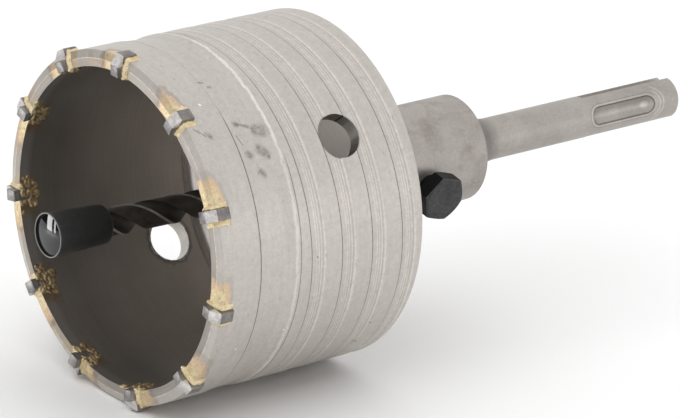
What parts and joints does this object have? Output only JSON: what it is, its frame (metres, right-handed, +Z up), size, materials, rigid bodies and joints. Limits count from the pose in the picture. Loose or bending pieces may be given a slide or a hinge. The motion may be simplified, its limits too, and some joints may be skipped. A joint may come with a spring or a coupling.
{
  "type": "core drill hole saw",
  "caption": "Cup-shaped hole saw with brazed carbide cutting tips, a spiral dust groove, a capped pilot drill and a grooved hammer-drill shank, for cutting round holes in masonry.",
  "frame": {"origin": "centre of the shank at the shoulder where it leaves the collar's rear face", "axes": "+X along the tool axis from the toothed rim towards the shank's free end, +Z up as the tool lies at rest on its side"},
  "size_m": [0.1823, 0.0818, 0.0815],
  "materials": {
    "cup_steel": "satin turned",
    "carbide": "ground, dull",
    "braze_metal": "as brazed",
    "arbor_steel": "satin turned",
    "black_bolt_steel": "black oxide",
    "black_drill_steel": "black oxide",
    "black_plastic": "moulded, glossy front"
  },
  "bodies": {
    "root": {"cup": "cup_steel", "carbide_tip_01": "carbide", "carbide_tip_02": "carbide", "carbide_tip_03": "carbide", "carbide_tip_04": "carbide", "carbide_tip_05": "carbide", "carbide_tip_06": "carbide", "carbide_tip_07": "carbide", "carbide_tip_08": "carbide", "carbide_tip_09": "carbide", "carbide_tip_10": "carbide", "carbide_tip_11": "carbide", "braze_01": "braze_metal", "braze_02": "braze_metal", "braze_03": "braze_metal", "braze_04": "braze_metal", "braze_05": "braze_metal", "braze_06": "braze_metal", "braze_07": "braze_metal", "braze_08": "braze_metal", "braze_09": "braze_metal", "braze_10": "braze_metal", "braze_11": "braze_metal", "arbor": "arbor_steel", "set_bolt": "black_bolt_steel", "pilot_drill": "black_drill_steel", "pilot_tip": "carbide", "tip_cap": "black_plastic"}
  },
  "joints": []
}
